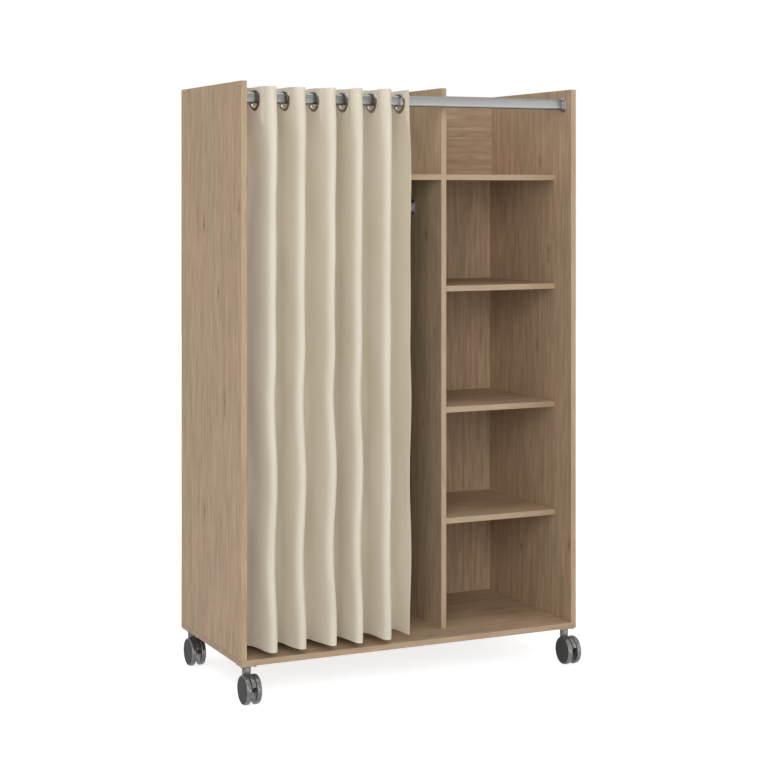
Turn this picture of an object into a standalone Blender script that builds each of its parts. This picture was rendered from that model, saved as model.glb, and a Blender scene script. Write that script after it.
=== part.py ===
"""Open-topped wardrobe on four twin-wheel castors, with a draw curtain and a column of shelves.

Metres, +Z up. The front faces -Y and +X is to the right as seen from the front.
The origin lies on the floor, in the middle of the overall width and depth.
"""

import math

import bmesh
import bpy
from mathutils import Matrix

# Carcass
BODY_WIDTH = 1.040
BODY_DEPTH = 0.500
BODY_HEIGHT = 1.570
BOARD = 0.016
BACK_BOARD = 0.003
BACK_MARGIN = 0.002
EDGE_SOFTENING = 0.0004
FRONT_SETBACK = 0.095
SHELF_BAY_WIDTH = 0.360
TOP_SPACE = 0.248

# How the four clear bays, counted from the base up, share the height below the top shelves
SHELF_BAY_SHARES = (300, 304, 333, 305)

# Gap left between pieces that touch
FIT = 0.0003

# Oval rails and the sockets that hold their ends
RAIL_HEIGHT = 0.030
RAIL_WIDTH = 0.015
RAIL_WALL = 0.0012
SOCKET_HEIGHT = 0.044
SOCKET_WIDTH = 0.024
SOCKET_DEPTH = 0.010
SOCKET_FLANGE = 0.0026
SOCKET_ROUNDING = 0.0012
SOCKET_CUP_WALL = 0.0028
CURTAIN_RAIL_DROP = 0.043
CURTAIN_RAIL_SETBACK = 0.042
CLOTHES_RAIL_DROP = 0.079
CLOTHES_RAIL_SETBACK = 0.280

# Curtain, parked to the left, and its eyelets
EYELET_PITCH = 0.0434
FIRST_EYELET_INSET = 0.039
FOLD_FRONT_DEPTH = 0.069
FOLD_BACK_DEPTH = 0.0435
TURN_RADIUS = 0.0165
CLOTH_THICKNESS = 0.002
CLOTH_ABOVE_EYELET = 0.0043
CLOTH_ABOVE_BASE = 0.0195
SIDE_HEM = 0.0434
EYELET_RADIUS = 0.030
EYELET_BORE_RADIUS = 0.021
EYELET_BARREL_WALL = 0.002
EYELET_CROWN = 0.0029
EYELET_LIP = 0.0007
EYELET_BORE_ROUNDING = 0.0015
EYELET_CROWN_WIDTH = 0.0035

# Castors
CASTOR_HEIGHT = 0.102
STEM_INSET_X = 0.0245
STEM_INSET_Y = 0.027
STEM_RADIUS = 0.012
STEM_CHAMFER = 0.001
STEM_FOOT = 0.004
SPIGOT_RADIUS = 0.004
PLATE_SIZE = 0.046
PLATE_THICKNESS = 0.0025
PLATE_CORNER_RADIUS = 0.004
PLATE_SCREW_OFFSET = 0.018
PLATE_SCREW_HOLE_RADIUS = 0.0022
WHEEL_RADIUS = 0.040
WHEEL_WIDTH = 0.0145
WHEEL_OFFSET = 0.025
WHEEL_CLEARANCE = 0.002
WHEEL_RIM_DEPTH = 0.004
WHEEL_RIM_ROUNDING = 0.001
WHEEL_SKIN = 0.003
HOOD_WIDTH = 0.012
HOOD_INSET = 0.0005
HOOD_WAIST = 0.0002
HUB_RADIUS = 0.0085
HUB_PROUD = 0.0005
AXLE_RADIUS = 0.004

# One overrun serves every cut, and one distance every weld
OVERRUN = 0.002
WELD = 0.00002

# Counts and angles
EYELET_COUNT = 11
EYELET_SIDES = 18
WHEEL_SIDES = 30
STEM_SIDES = 24
AXLE_SIDES = 16
SMALL_SIDES = 8
TURN_STEPS = 5
OVAL_STEPS = 8
CORNER_STEPS = 2
SHARP_ANGLE = math.radians(35)
HOOD_FRONT_RISE = math.radians(20)
QUARTER = math.radians(90)
HALF = math.radians(180)
FULL = math.radians(360)

# Places worked out from the sizes
LEFT_X = -BODY_WIDTH / 2
RIGHT_X = BODY_WIDTH / 2
INNER_LEFT_X = LEFT_X + BOARD
INNER_RIGHT_X = RIGHT_X - BOARD
DIVIDER_RIGHT_X = INNER_RIGHT_X - SHELF_BAY_WIDTH
DIVIDER_LEFT_X = DIVIDER_RIGHT_X - BOARD
WHEEL_OVERHANG = WHEEL_OFFSET + WHEEL_RADIUS - STEM_INSET_Y
FRONT_Y = (WHEEL_OVERHANG - BODY_DEPTH) / 2
BACK_Y = FRONT_Y + BODY_DEPTH
PANEL_BACK_Y = BACK_Y - BACK_BOARD - FIT
SHELF_FRONT_Y = FRONT_Y + FRONT_SETBACK
BASE_TOP_Z = CASTOR_HEIGHT + BOARD
TOP_Z = CASTOR_HEIGHT + BODY_HEIGHT
HAT_SHELF_Z = TOP_Z - TOP_SPACE - BOARD
BAY_PER_SHARE = (HAT_SHELF_Z - BASE_TOP_Z - 3 * BOARD) / sum(SHELF_BAY_SHARES)
LOWER_SHELF_Z = BASE_TOP_Z + SHELF_BAY_SHARES[0] * BAY_PER_SHARE
MIDDLE_SHELF_Z = LOWER_SHELF_Z + BOARD + SHELF_BAY_SHARES[1] * BAY_PER_SHARE
UPPER_SHELF_Z = MIDDLE_SHELF_Z + BOARD + SHELF_BAY_SHARES[2] * BAY_PER_SHARE
CURTAIN_RAIL_Y = FRONT_Y + CURTAIN_RAIL_SETBACK
CURTAIN_RAIL_Z = TOP_Z - CURTAIN_RAIL_DROP
CLOTHES_RAIL_Y = FRONT_Y + CLOTHES_RAIL_SETBACK
CLOTHES_RAIL_Z = HAT_SHELF_Z - CLOTHES_RAIL_DROP
EYELET_Z = CURTAIN_RAIL_Z + RAIL_HEIGHT / 2 + FIT - EYELET_BORE_RADIUS
CLOTH_TOP_Z = EYELET_Z + EYELET_RADIUS + CLOTH_ABOVE_EYELET
CLOTH_BOTTOM_Z = BASE_TOP_Z + CLOTH_ABOVE_BASE
AXLE_Z = WHEEL_RADIUS * math.cos(HALF / WHEEL_SIDES)
STEM_TOP_Z = CASTOR_HEIGHT - FIT - PLATE_THICKNESS - FIT

# Straight flanks join a turn well in front of the rail to one close behind it
TURN_GAP = FOLD_FRONT_DEPTH + FOLD_BACK_DEPTH - 2 * TURN_RADIUS
FLANK_YAW = (math.atan2(EYELET_PITCH, TURN_GAP)
             - math.asin(2 * TURN_RADIUS / math.hypot(EYELET_PITCH, TURN_GAP)))
TURN_ANGLE = QUARTER - FLANK_YAW
FRONT_FLANK, BACK_FLANK = ((depth - TURN_RADIUS * (1 - math.sin(FLANK_YAW))) / math.cos(FLANK_YAW)
                           for depth in (FOLD_FRONT_DEPTH, FOLD_BACK_DEPTH))
FRONT_REACH = FRONT_FLANK + TURN_RADIUS * TURN_ANGLE
BACK_REACH = BACK_FLANK + TURN_RADIUS * TURN_ANGLE
FRONT_PITCH = 2 * (FRONT_FLANK * math.sin(FLANK_YAW) + TURN_RADIUS * math.cos(FLANK_YAW))
BACK_PITCH = 2 * EYELET_PITCH - FRONT_PITCH


def clear_scene():
    """Start from an empty scene."""
    for obj in list(bpy.data.objects):
        bpy.data.objects.remove(obj, do_unlink=True)


def new_collection(name):
    """Add a collection under the scene's own."""
    group = bpy.data.collections.new(name)
    bpy.context.scene.collection.children.link(group)
    return group


def new_look(name, colour, roughness, metallic):
    """A Principled material."""
    look = bpy.data.materials.new(name)
    look.use_nodes = True
    shader = look.node_tree.nodes["Principled BSDF"]
    shader.inputs["Base Color"].default_value = (*colour, 1)
    shader.inputs["Roughness"].default_value = roughness
    shader.inputs["Metallic"].default_value = metallic
    look.diffuse_color = (*colour, 1)
    return look


def new_object(name, mesh):
    """Put a mesh in the scene's own collection."""
    obj = bpy.data.objects.new(name, mesh)
    bpy.context.scene.collection.objects.link(obj)
    return obj


def place(obj, group, look=None, location=(0, 0, 0), rotation=(0, 0, 0), carrier=None):
    """Move an object to its group, its place, its finish and the empty that carries it."""
    for other in list(obj.users_collection):
        other.objects.unlink(obj)
    group.objects.link(obj)
    obj.location = location
    obj.rotation_euler = rotation
    if look:
        obj.data.materials.clear()
        obj.data.materials.append(look)
    if carrier:
        obj.parent = carrier
    return obj


def new_axis(name, group, location, carrier=None):
    """An empty on a joint's axis, which carries the pieces that move with it."""
    axis = bpy.data.objects.new(name, None)
    axis.empty_display_size = WHEEL_RADIUS
    group.objects.link(axis)
    axis.location = location
    if carrier:
        axis.parent = carrier
    return axis


def settle(obj):
    """Swap an object's modifiers for the mesh they make, smooth where it is round."""
    graph = bpy.context.evaluated_depsgraph_get()
    mesh = bpy.data.meshes.new_from_object(obj.evaluated_get(graph))
    obj.modifiers.clear()
    obj.data = mesh
    mesh.shade_smooth()
    mesh.set_sharp_from_angle(angle=SHARP_ANGLE)
    return obj


def cut_or_join(obj, other, operation):
    """Boolean one object with another, which becomes a hidden guide."""
    bpy.context.view_layer.update()
    boolean = obj.modifiers.new(operation.title(), "BOOLEAN")
    boolean.operation = operation
    boolean.solver = "EXACT"
    boolean.object = other
    other.hide_render = True
    other.display_type = "WIRE"


def box(name, low, high):
    """A board between two corners, its place kept in the object's location."""
    size = [top - bottom for bottom, top in zip(low, high)]
    shape = bmesh.new()
    bmesh.ops.create_cube(shape, size=1)
    bmesh.ops.scale(shape, vec=size, verts=shape.verts)
    mesh = bpy.data.meshes.new(name)
    shape.to_mesh(mesh)
    shape.free()
    obj = new_object(name, mesh)
    bevel = obj.modifiers.new("Edge band", "BEVEL")
    bevel.width = EDGE_SOFTENING
    bevel.segments = 1
    middle = [(bottom + top) / 2 for bottom, top in zip(low, high)]
    return obj, middle


def prism(name, outlines, thickness):
    """Flat outlines of (x, y) points, all but the first being holes, made thick about z = 0."""
    curve = bpy.data.curves.new(name, "CURVE")
    curve.dimensions = "2D"
    curve.fill_mode = "BOTH"
    curve.extrude = thickness / 2
    for outline in outlines:
        spline = curve.splines.new("POLY")
        spline.points.add(len(outline) - 1)
        for point, (x, y) in zip(spline.points, outline):
            point.co = (x, y, 0, 1)
        spline.use_cyclic_u = True
    guide = new_object(name, curve)
    graph = bpy.context.evaluated_depsgraph_get()
    mesh = bpy.data.meshes.new_from_object(guide.evaluated_get(graph))
    bpy.data.objects.remove(guide, do_unlink=True)
    bpy.data.curves.remove(curve)
    shape = bmesh.new()
    shape.from_mesh(mesh)
    bmesh.ops.remove_doubles(shape, verts=shape.verts, dist=WELD)
    bmesh.ops.recalc_face_normals(shape, faces=shape.faces)
    shape.to_mesh(mesh)
    shape.free()
    return new_object(name, mesh)


def turned(name, outline, sides, closed=False, start_angle=0):
    """A shape turned about local Z from (radius, height) points listed down its outer side."""
    shape = bmesh.new()
    corners = []
    for radius, height in outline:
        across = radius * math.cos(start_angle)
        along = radius * math.sin(start_angle)
        corners.append(shape.verts.new((across, along, height)))
    for first, second in zip(corners, corners[1:]):
        shape.edges.new((first, second))
    if closed:
        shape.edges.new((corners[-1], corners[0]))
    mesh = bpy.data.meshes.new(name)
    shape.to_mesh(mesh)
    shape.free()
    obj = new_object(name, mesh)
    screw = obj.modifiers.new("Turn", "SCREW")
    screw.steps = sides
    screw.render_steps = sides
    screw.use_merge_vertices = True
    screw.merge_threshold = WELD
    return settle(obj)


def circle_outline(radius, sides, x=0, y=0):
    """Points round a circle."""
    angles = [FULL * step / sides for step in range(sides)]
    return [(x + radius * math.cos(angle), y + radius * math.sin(angle)) for angle in angles]


def oval_outline(height, width):
    """Points round a flat-sided oval whose long way lies along local X."""
    radius = width / 2
    middle = height / 2 - radius
    points = []
    for side, first in ((1, -QUARTER), (-1, QUARTER)):
        for step in range(OVAL_STEPS + 1):
            angle = first + HALF * step / OVAL_STEPS
            points.append((side * middle + radius * math.cos(angle), radius * math.sin(angle)))
    return points


def rounded_square_outline(size, radius):
    """Points round a square with rounded corners."""
    middle = size / 2 - radius
    points = []
    for corner, (x_side, y_side) in enumerate(((1, 1), (-1, 1), (-1, -1), (1, -1))):
        for step in range(CORNER_STEPS + 1):
            angle = QUARTER * (corner + step / CORNER_STEPS)
            x = x_side * middle + radius * math.cos(angle)
            y = y_side * middle + radius * math.sin(angle)
            points.append((x, y))
    return points


def add_board(name, low, high, group, look):
    """A board of the carcass."""
    obj, middle = box(name, low, high)
    return place(obj, group, look, middle)


def add_carcass(group, oak, backing):
    """Base, sides, divider, shelves and the two layers of back."""
    add_board("base_panel", (LEFT_X, FRONT_Y, CASTOR_HEIGHT),
              (RIGHT_X, PANEL_BACK_Y, BASE_TOP_Z), group, oak)
    standing_z = BASE_TOP_Z + FIT
    uprights = (("side_panel_left", LEFT_X, INNER_LEFT_X, FRONT_Y),
                ("divider_panel", DIVIDER_LEFT_X, DIVIDER_RIGHT_X, SHELF_FRONT_Y),
                ("side_panel_right", INNER_RIGHT_X, RIGHT_X, FRONT_Y))
    for name, left, right, front in uprights:
        add_board(name, (left, front, standing_z), (right, PANEL_BACK_Y, TOP_Z), group, oak)
    shelf_bay = (DIVIDER_RIGHT_X + FIT, INNER_RIGHT_X - FIT)
    hanging_bay = (INNER_LEFT_X + FIT, DIVIDER_LEFT_X - FIT)
    shelves = (("shelf_lower", shelf_bay, LOWER_SHELF_Z), ("shelf_middle", shelf_bay, MIDDLE_SHELF_Z),
               ("shelf_upper", shelf_bay, UPPER_SHELF_Z), ("top_shelf_right", shelf_bay, HAT_SHELF_Z),
               ("hat_shelf_left", hanging_bay, HAT_SHELF_Z))
    for name, (left, right), z in shelves:
        add_board(name, (left, SHELF_FRONT_Y, z), (right, PANEL_BACK_Y, z + BOARD), group, oak)
    rail_z = HAT_SHELF_Z + BOARD + FIT
    for name, (left, right) in (("back_rail_left", hanging_bay), ("back_rail_right", shelf_bay)):
        add_board(name, (left, PANEL_BACK_Y - BOARD, rail_z), (right, PANEL_BACK_Y, TOP_Z), group, oak)
    seam_x = (DIVIDER_LEFT_X + DIVIDER_RIGHT_X) / 2
    backs = (("back_panel_left", LEFT_X + BACK_MARGIN, seam_x - FIT / 2),
             ("back_panel_right", seam_x + FIT / 2, RIGHT_X - BACK_MARGIN))
    for name, left, right in backs:
        add_board(name, (left, BACK_Y - BACK_BOARD, CASTOR_HEIGHT + BACK_MARGIN),
                  (right, BACK_Y, HAT_SHELF_Z + BOARD / 2), group, backing)


def new_socket(name, guides):
    """An end socket: an oval flange on local z = 0, and a cup that the rail drops into from local +X."""
    socket = prism(name, [oval_outline(SOCKET_HEIGHT, SOCKET_WIDTH)], SOCKET_FLANGE)
    shape = bmesh.new()
    shape.from_mesh(socket.data)
    bmesh.ops.translate(shape, vec=(0, 0, SOCKET_FLANGE / 2), verts=shape.verts)
    rim = [edge for edge in shape.edges
           if all(vert.co.z > SOCKET_FLANGE / 2 for vert in edge.verts)
           and edge.calc_face_angle() > SHARP_ANGLE]
    bmesh.ops.bevel(shape, geom=rim, offset=SOCKET_ROUNDING, affect="EDGES", segments=2,
                    profile=0.5, material=-1)
    shape.to_mesh(socket.data)
    shape.free()
    rail_room = (RAIL_HEIGHT + 2 * FIT, RAIL_WIDTH + 2 * FIT)
    cup_outline = oval_outline(*(size + 2 * SOCKET_CUP_WALL for size in rail_room))
    cup_base = SOCKET_FLANGE / 2
    cup = prism(name + "_cup", [cup_outline], SOCKET_DEPTH - cup_base)
    place(cup, guides, location=(0, 0, (SOCKET_DEPTH + cup_base) / 2))
    cut_or_join(socket, cup, "UNION")
    pocket_outline = [(x + (SOCKET_HEIGHT if x > 0 else 0), y) for x, y in oval_outline(*rail_room)]
    pocket_depth = SOCKET_DEPTH - SOCKET_FLANGE + OVERRUN
    pocket = prism(name + "_pocket", [pocket_outline], pocket_depth)
    place(pocket, guides, location=(0, 0, SOCKET_FLANGE + pocket_depth / 2))
    cut_or_join(socket, pocket, "DIFFERENCE")
    return settle(socket)


def add_rail(name, left_x, right_x, y, z, group, guides, rail_look, socket_look):
    """An oval tube between two walls, with a socket on each."""
    for side, wall_x, turn in (("left", left_x + FIT, HALF), ("right", right_x - FIT, 0)):
        socket = new_socket(name + "_socket_" + side, guides)
        place(socket, group, socket_look, (wall_x, y, z), (0, -QUARTER, turn))
    end_gap = FIT + SOCKET_FLANGE + FIT
    bore = oval_outline(RAIL_HEIGHT - 2 * RAIL_WALL, RAIL_WIDTH - 2 * RAIL_WALL)
    rail = prism(name, [oval_outline(RAIL_HEIGHT, RAIL_WIDTH), bore], right_x - left_x - 2 * end_gap)
    place(settle(rail), group, rail_look, ((left_x + right_x) / 2, y, z), (0, QUARTER, 0))


def cloth_point(along, offset):
    """A point of the cloth's cross-section: a distance along it from the eyelet, and one off its face."""
    side = math.copysign(1, along)
    straight = min(abs(along), FRONT_FLANK if along > 0 else BACK_FLANK)
    heading = FLANK_YAW + (abs(along) - straight) / TURN_RADIUS
    x = straight * math.sin(FLANK_YAW) + TURN_RADIUS * (math.cos(FLANK_YAW) - math.cos(heading))
    y = straight * math.cos(FLANK_YAW) + TURN_RADIUS * (math.sin(heading) - math.sin(FLANK_YAW))
    return side * x + offset * math.cos(heading), offset * math.sin(heading) - side * y


def bend_places(limit):
    """Distances along the cloth at which it bends, from the end of a flank to a limit beyond it."""
    flank = FRONT_FLANK if limit > 0 else BACK_FLANK
    arc = abs(limit) - flank
    if arc <= 0:
        return [limit]
    return [math.copysign(flank + arc * step / TURN_STEPS, limit) for step in range(TURN_STEPS + 1)]


def cloth_outline(back_limit, front_limit):
    """The outline of one strip of cloth, between a limit behind its eyelet and one in front of it."""
    places = list(reversed(bend_places(back_limit))) + bend_places(front_limit)
    half = CLOTH_THICKNESS / 2
    near = [cloth_point(along, -half) for along in places]
    far = [cloth_point(along, half) for along in reversed(places)]
    return near + far


def add_cloth(number, group, guides, look, carrier):
    """One flank of the curtain with the round turns that join it to its neighbours."""
    name = f"curtain_cloth_{number:02d}"
    back_limit = -SIDE_HEM if number == 1 else FIT / 2 - BACK_REACH
    front_limit = SIDE_HEM if number == EYELET_COUNT else FRONT_REACH - FIT / 2
    facing = 1 if number % 2 else -1
    outline = [(facing * x, y) for x, y in cloth_outline(back_limit, front_limit)]
    cloth = prism(name, [outline], CLOTH_TOP_Z - CLOTH_BOTTOM_Z)
    reach = CLOTH_THICKNESS / 2 + OVERRUN
    hole_radius = EYELET_BORE_RADIUS + EYELET_BARREL_WALL + FIT
    hole = turned(name + "_hole", [(0, reach), (hole_radius, reach), (hole_radius, -reach), (0, -reach)],
                  EYELET_SIDES)
    middle_z = (CLOTH_TOP_Z + CLOTH_BOTTOM_Z) / 2
    place(hole, guides, location=(0, 0, EYELET_Z - middle_z), rotation=(0, QUARTER, facing * FLANK_YAW))
    cut_or_join(cloth, hole, "DIFFERENCE")
    settle(cloth)
    place(cloth, group, look, (0, 0, middle_z - CURTAIN_RAIL_Z), carrier=carrier)


def eyelet_outline():
    """Cross-section of a snap eyelet: two domed flanges on a barrel, with a groove for the cloth."""
    groove = CLOTH_THICKNESS / 2 + FIT
    lip = groove + EYELET_LIP
    crown = groove + EYELET_CROWN
    barrel_radius = EYELET_BORE_RADIUS + EYELET_BARREL_WALL
    mouth = crown - EYELET_BORE_ROUNDING
    upper = [(EYELET_BORE_RADIUS, mouth),
             (EYELET_BORE_RADIUS + EYELET_BORE_ROUNDING, crown),
             (EYELET_BORE_RADIUS + EYELET_BORE_ROUNDING + EYELET_CROWN_WIDTH, crown),
             (EYELET_RADIUS, lip), (EYELET_RADIUS, groove), (barrel_radius, groove)]
    lower = [(radius, -height) for radius, height in reversed(upper)]
    return upper + lower


def add_curtain(group, guides, cloth_look, eyelet_look):
    """The eyelet curtain, folded up against the left side panel; each strip glides with its eyelet."""
    carrier = None
    location = (INNER_LEFT_X + FIRST_EYELET_INSET, CURTAIN_RAIL_Y, CURTAIN_RAIL_Z)
    for number in range(1, EYELET_COUNT + 1):
        carrier = new_axis(f"glide_{number:02d}", group, location, carrier)
        add_cloth(number, group, guides, cloth_look, carrier)
        facing = 1 if number % 2 else -1
        location = (FRONT_PITCH if number % 2 else BACK_PITCH, 0, 0)
        eyelet = turned(f"curtain_eyelet_{number:02d}", eyelet_outline(), EYELET_SIDES, closed=True)
        place(eyelet, group, eyelet_look, (0, 0, EYELET_Z - CURTAIN_RAIL_Z),
              (0, QUARTER, facing * FLANK_YAW), carrier)


def new_plate(name):
    """A castor's square mounting plate, with four screw holes and the hole its swivel turns in."""
    outlines = [rounded_square_outline(PLATE_SIZE, PLATE_CORNER_RADIUS),
                circle_outline(SPIGOT_RADIUS + FIT, STEM_SIDES)]
    for x in (-PLATE_SCREW_OFFSET, PLATE_SCREW_OFFSET):
        for y in (-PLATE_SCREW_OFFSET, PLATE_SCREW_OFFSET):
            outlines.append(circle_outline(PLATE_SCREW_HOLE_RADIUS, SMALL_SIDES, x, y))
    return settle(prism(name, outlines, PLATE_THICKNESS))


def new_hood(name, guides):
    """A castor's swivelling hood, modelled about the wheel axle's middle: spigot, stem, web and axle."""
    stem_top = STEM_TOP_Z - AXLE_Z
    spigot_top = stem_top + FIT + PLATE_THICKNESS
    outline = [(0, spigot_top), (SPIGOT_RADIUS, spigot_top), (SPIGOT_RADIUS, stem_top),
               (STEM_RADIUS - STEM_CHAMFER, stem_top), (STEM_RADIUS, stem_top - STEM_CHAMFER),
               (STEM_RADIUS, STEM_FOOT), (0, STEM_FOOT)]
    hood = turned(name, outline, STEM_SIDES)
    hood.data.transform(Matrix.Translation((0, WHEEL_OFFSET, 0)))
    for side in (-1, 1):
        reach = WHEEL_RADIUS + WHEEL_CLEARANCE
        width = WHEEL_WIDTH + WHEEL_CLEARANCE + OVERRUN
        room = prism(name + "_wheel_room", [circle_outline(reach, WHEEL_SIDES)], width)
        room_x = side * ((HOOD_WIDTH + width) / 2 - HOOD_WAIST)
        place(room, guides, location=(room_x, 0, 0), rotation=(0, QUARTER, 0))
        cut_or_join(hood, room, "DIFFERENCE")
    web_radius = WHEEL_RADIUS - HOOD_INSET
    sweep = HALF - HOOD_FRONT_RISE
    arc = [sweep * step / (WHEEL_SIDES // 2) for step in range(WHEEL_SIDES // 2 + 1)]
    sector = [(0, 0)] + [(-web_radius * math.sin(angle), web_radius * math.cos(angle)) for angle in arc]
    web = prism(name + "_web", [sector], HOOD_WIDTH)
    place(web, guides, rotation=(0, QUARTER, 0))
    cut_or_join(hood, web, "UNION")
    hub = prism(name + "_hub", [circle_outline(HUB_RADIUS, AXLE_SIDES)], HOOD_WIDTH + 2 * HUB_PROUD)
    place(hub, guides, rotation=(0, QUARTER, 0))
    cut_or_join(hood, hub, "UNION")
    axle_length = HOOD_WIDTH + 2 * (WHEEL_CLEARANCE + WHEEL_WIDTH - WHEEL_SKIN - FIT)
    axle = prism(name + "_axle", [circle_outline(AXLE_RADIUS, AXLE_SIDES)], axle_length)
    place(axle, guides, rotation=(0, QUARTER, 0))
    cut_or_join(hood, axle, "UNION")
    return settle(hood)


def wheel_outline():
    """Half section of a castor wheel, outer face up, with a blind bore and a hub towards the hood."""
    bore = AXLE_RADIUS + FIT
    hub_face = FIT + HUB_PROUD - WHEEL_CLEARANCE
    return [(0, WHEEL_WIDTH), (WHEEL_RADIUS - WHEEL_RIM_DEPTH, WHEEL_WIDTH),
            (WHEEL_RADIUS - WHEEL_RIM_ROUNDING, WHEEL_WIDTH - WHEEL_RIM_ROUNDING),
            (WHEEL_RADIUS, WHEEL_WIDTH - WHEEL_SKIN), (WHEEL_RADIUS, 2 * WHEEL_RIM_ROUNDING),
            (WHEEL_RADIUS - WHEEL_RIM_ROUNDING, 0), (HUB_RADIUS, 0), (HUB_RADIUS, hub_face),
            (bore, hub_face), (bore, WHEEL_WIDTH - WHEEL_SKIN), (0, WHEEL_WIDTH - WHEEL_SKIN)]


def add_castor(corner, x, y, group, guides, steel, plastic):
    """A twin-wheel castor: fixed plate, swivelling hood, and a wheel on each end of its axle."""
    plate_z = CASTOR_HEIGHT - FIT - PLATE_THICKNESS / 2
    place(new_plate(corner + "_plate"), group, steel, (x, y, plate_z))
    swivel = new_axis(corner + "_swivel", group, (x, y, STEM_TOP_Z))
    axle_place = (0, -WHEEL_OFFSET, AXLE_Z - STEM_TOP_Z)
    hood = new_hood(corner + "_hood", guides)
    hood.data.transform(Matrix.Translation(axle_place))
    place(hood, group, plastic, carrier=swivel)
    inner_face = HOOD_WIDTH / 2 + WHEEL_CLEARANCE
    for side, direction in (("left", -1), ("right", 1)):
        wheel = turned(f"{corner}_wheel_{side}", wheel_outline(), WHEEL_SIDES,
                       start_angle=HALF / WHEEL_SIDES)
        wheel_place = (direction * inner_face, axle_place[1], axle_place[2])
        place(wheel, group, plastic, wheel_place, (0, direction * QUARTER, 0), swivel)


def build():
    """Make the whole wardrobe."""
    clear_scene()
    group = new_collection("wardrobe")
    guides = new_collection("cutters")
    oak = new_look("oak_board", (0.43, 0.32, 0.22), 0.55, 0)
    backing = new_look("oak_back", (0.40, 0.29, 0.19), 0.6, 0)
    cloth = new_look("curtain_fabric", (0.70, 0.64, 0.51), 0.9, 0)
    chrome = new_look("eyelet_metal", (0.45, 0.42, 0.40), 0.2, 1)
    aluminium = new_look("rail_aluminium", (0.48, 0.48, 0.50), 0.35, 1)
    socket = new_look("socket_metal", (0.42, 0.42, 0.43), 0.4, 1)
    steel = new_look("castor_steel", (0.20, 0.19, 0.18), 0.4, 1)
    plastic = new_look("castor_plastic", (0.10, 0.10, 0.10), 0.3, 0)
    add_carcass(group, oak, backing)
    add_rail("curtain_rail", INNER_LEFT_X, INNER_RIGHT_X, CURTAIN_RAIL_Y, CURTAIN_RAIL_Z,
             group, guides, aluminium, socket)
    add_rail("clothes_rail", INNER_LEFT_X, DIVIDER_LEFT_X, CLOTHES_RAIL_Y, CLOTHES_RAIL_Z,
             group, guides, aluminium, socket)
    add_curtain(group, guides, cloth, chrome)
    for end, y in (("front", FRONT_Y + STEM_INSET_Y), ("rear", BACK_Y - STEM_INSET_Y)):
        for side, x in (("left", LEFT_X + STEM_INSET_X), ("right", RIGHT_X - STEM_INSET_X)):
            add_castor(f"castor_{end}_{side}", x, y, group, guides, steel, plastic)
    bpy.context.view_layer.update()


build()
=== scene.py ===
"""Looks of an open-topped wardrobe on castors, with an eyelet curtain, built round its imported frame.

Metres, +Z up. The front faces -Y and +X is to the right as seen from the front.
"""

import math

import bmesh
import bpy
from mathutils import Matrix, Vector, noise


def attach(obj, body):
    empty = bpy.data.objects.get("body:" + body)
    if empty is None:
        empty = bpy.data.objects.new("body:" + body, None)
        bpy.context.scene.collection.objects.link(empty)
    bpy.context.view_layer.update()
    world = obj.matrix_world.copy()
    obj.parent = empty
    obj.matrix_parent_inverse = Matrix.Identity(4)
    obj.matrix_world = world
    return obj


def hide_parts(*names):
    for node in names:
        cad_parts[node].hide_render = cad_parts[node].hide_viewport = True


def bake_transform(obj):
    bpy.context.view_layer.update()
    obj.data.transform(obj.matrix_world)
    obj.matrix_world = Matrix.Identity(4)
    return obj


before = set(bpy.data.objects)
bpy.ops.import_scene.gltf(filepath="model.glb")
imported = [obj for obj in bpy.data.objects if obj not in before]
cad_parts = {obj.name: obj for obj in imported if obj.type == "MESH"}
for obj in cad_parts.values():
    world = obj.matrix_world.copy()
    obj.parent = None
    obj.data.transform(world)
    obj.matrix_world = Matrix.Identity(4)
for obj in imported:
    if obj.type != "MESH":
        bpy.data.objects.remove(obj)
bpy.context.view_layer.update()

QUARTER = math.radians(90)
HALF = math.radians(180)
FULL = math.radians(360)

# Camera, as the photograph was taken
CAMERA_PLACE = (-2.2251, -4.7668, 1.3734)
CAMERA_YAW = math.radians(-25.07)
LENS = 85
SENSOR_WIDTH = 36
LENS_SHIFT = -0.2490

# Carcass places
FRONT_Y = -0.231
SHELF_FRONT_Y = -0.136
BACK_Y = 0.269

# How far a piece that is joined to another sinks into it
SEAT = 0.0004

# Rails and their end sockets
RAIL_HEIGHT = 0.030
RAIL_WIDTH = 0.015
RAIL_WALL = 0.0012
SOCKET_HEIGHT = 0.044
SOCKET_WIDTH = 0.024
SOCKET_DEPTH = 0.010
FLANGE_THICKNESS = 0.0026
FLANGE_ROUND = 0.0009
CUP_WALL = 0.0028
CUP_CLEARANCE = 0.0006
CUP_ROUND = 0.0007
RAIL_END_GAP = 0.0022
SOCKET_HORN_HEIGHT = 0.0118
SOCKET_SCREW_HEIGHTS = (0.0075, -0.0075)
SOCKET_SCREW = (0.0027, 0.0016)
CURTAIN_RAIL = {"y": -0.189, "z": 1.629, "left": -0.5037, "right": 0.5037}
CLOTHES_RAIL = {"y": 0.049, "z": 1.329, "left": -0.5037, "right": 0.1277}

# Curtain folds: straight flanks join a turn well in front of the rail to one close behind it
EYELET_COUNT = 11
EYELET_PITCH = 0.0434
FIRST_EYELET_X = -0.465
RAIL_Y = CURTAIN_RAIL["y"]
EYELET_Z = 1.6233
CLOTH_TOP = 1.6576
CLOTH_BOTTOM = 0.1375
CLOTH_HEIGHT = CLOTH_TOP - CLOTH_BOTTOM
CLOTH_THICKNESS = 0.0013
FOLD_FRONT_DEPTH = 0.069
FOLD_BACK_DEPTH = 0.0435
TURN_RADIUS = 0.0165
SIDE_HEM = 0.0434
CLOTH_HOLE_RADIUS = 0.0262
EYELET_RADIUS = 0.030
EYELET_BORE_RADIUS = 0.021

# Below the eyelets the folds narrow in front of the rail and widen behind it, by this much a side
FOLD_NARROWING = 0.0035
NARROWING_TOP = 1.585
NARROWING_HEIGHT = 0.12

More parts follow.
